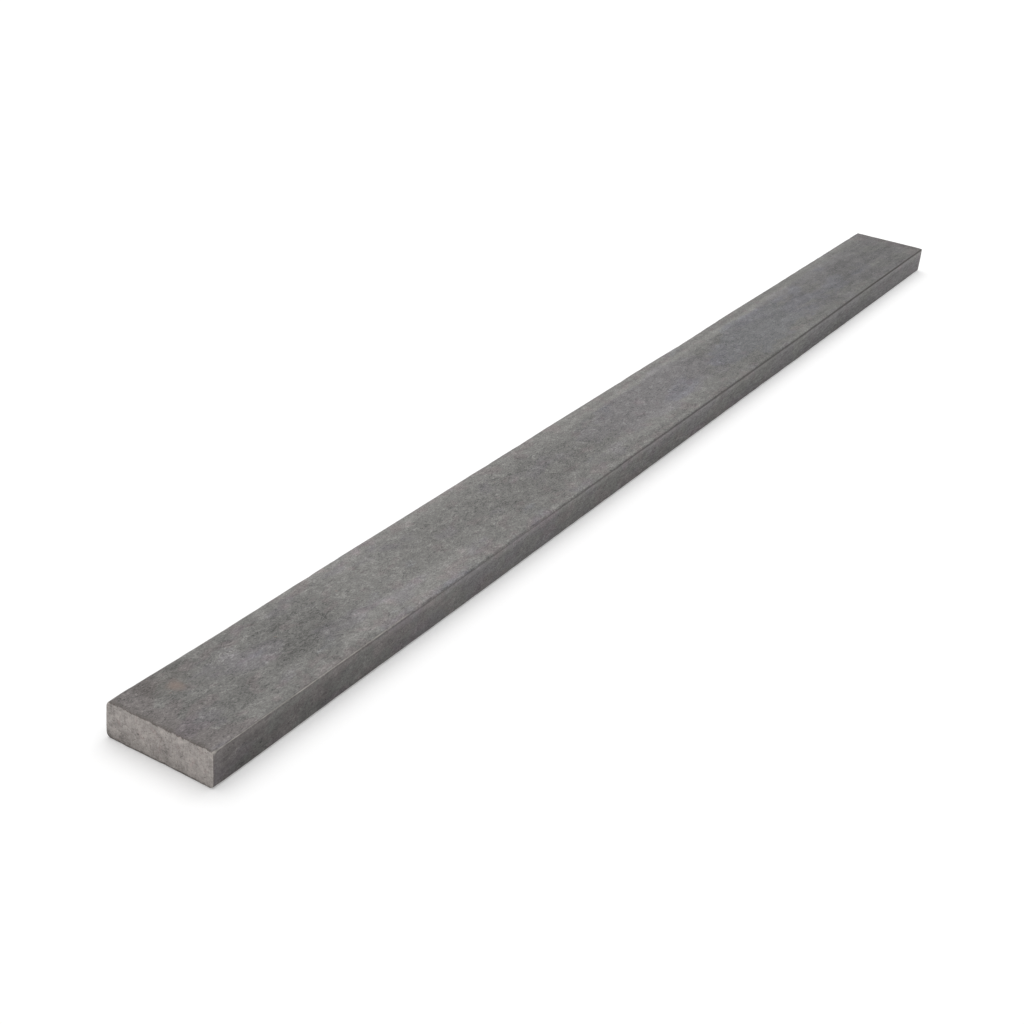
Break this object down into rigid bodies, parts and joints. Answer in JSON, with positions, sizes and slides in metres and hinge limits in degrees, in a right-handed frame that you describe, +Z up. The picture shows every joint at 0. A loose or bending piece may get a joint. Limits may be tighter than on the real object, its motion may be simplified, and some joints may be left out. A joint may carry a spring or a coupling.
{
  "type": "metal flat bar",
  "caption": "Straight steel flat bar, hot rolled with slightly rounded long corners and crowned narrow edges, sawn square at both ends.",
  "frame": {"origin": "middle of the underside, on the plane the bar lies on", "axes": "+X along the bar's length, +Y across its width, +Z up through its thickness"},
  "size_m": [0.375, 0.025, 0.008],
  "materials": {
    "rolled_steel": "dull grey hot-rolled mill scale with traces of rust, bare where sawn"
  },
  "bodies": {
    "root": {"flat_bar": "rolled_steel"}
  },
  "joints": []
}
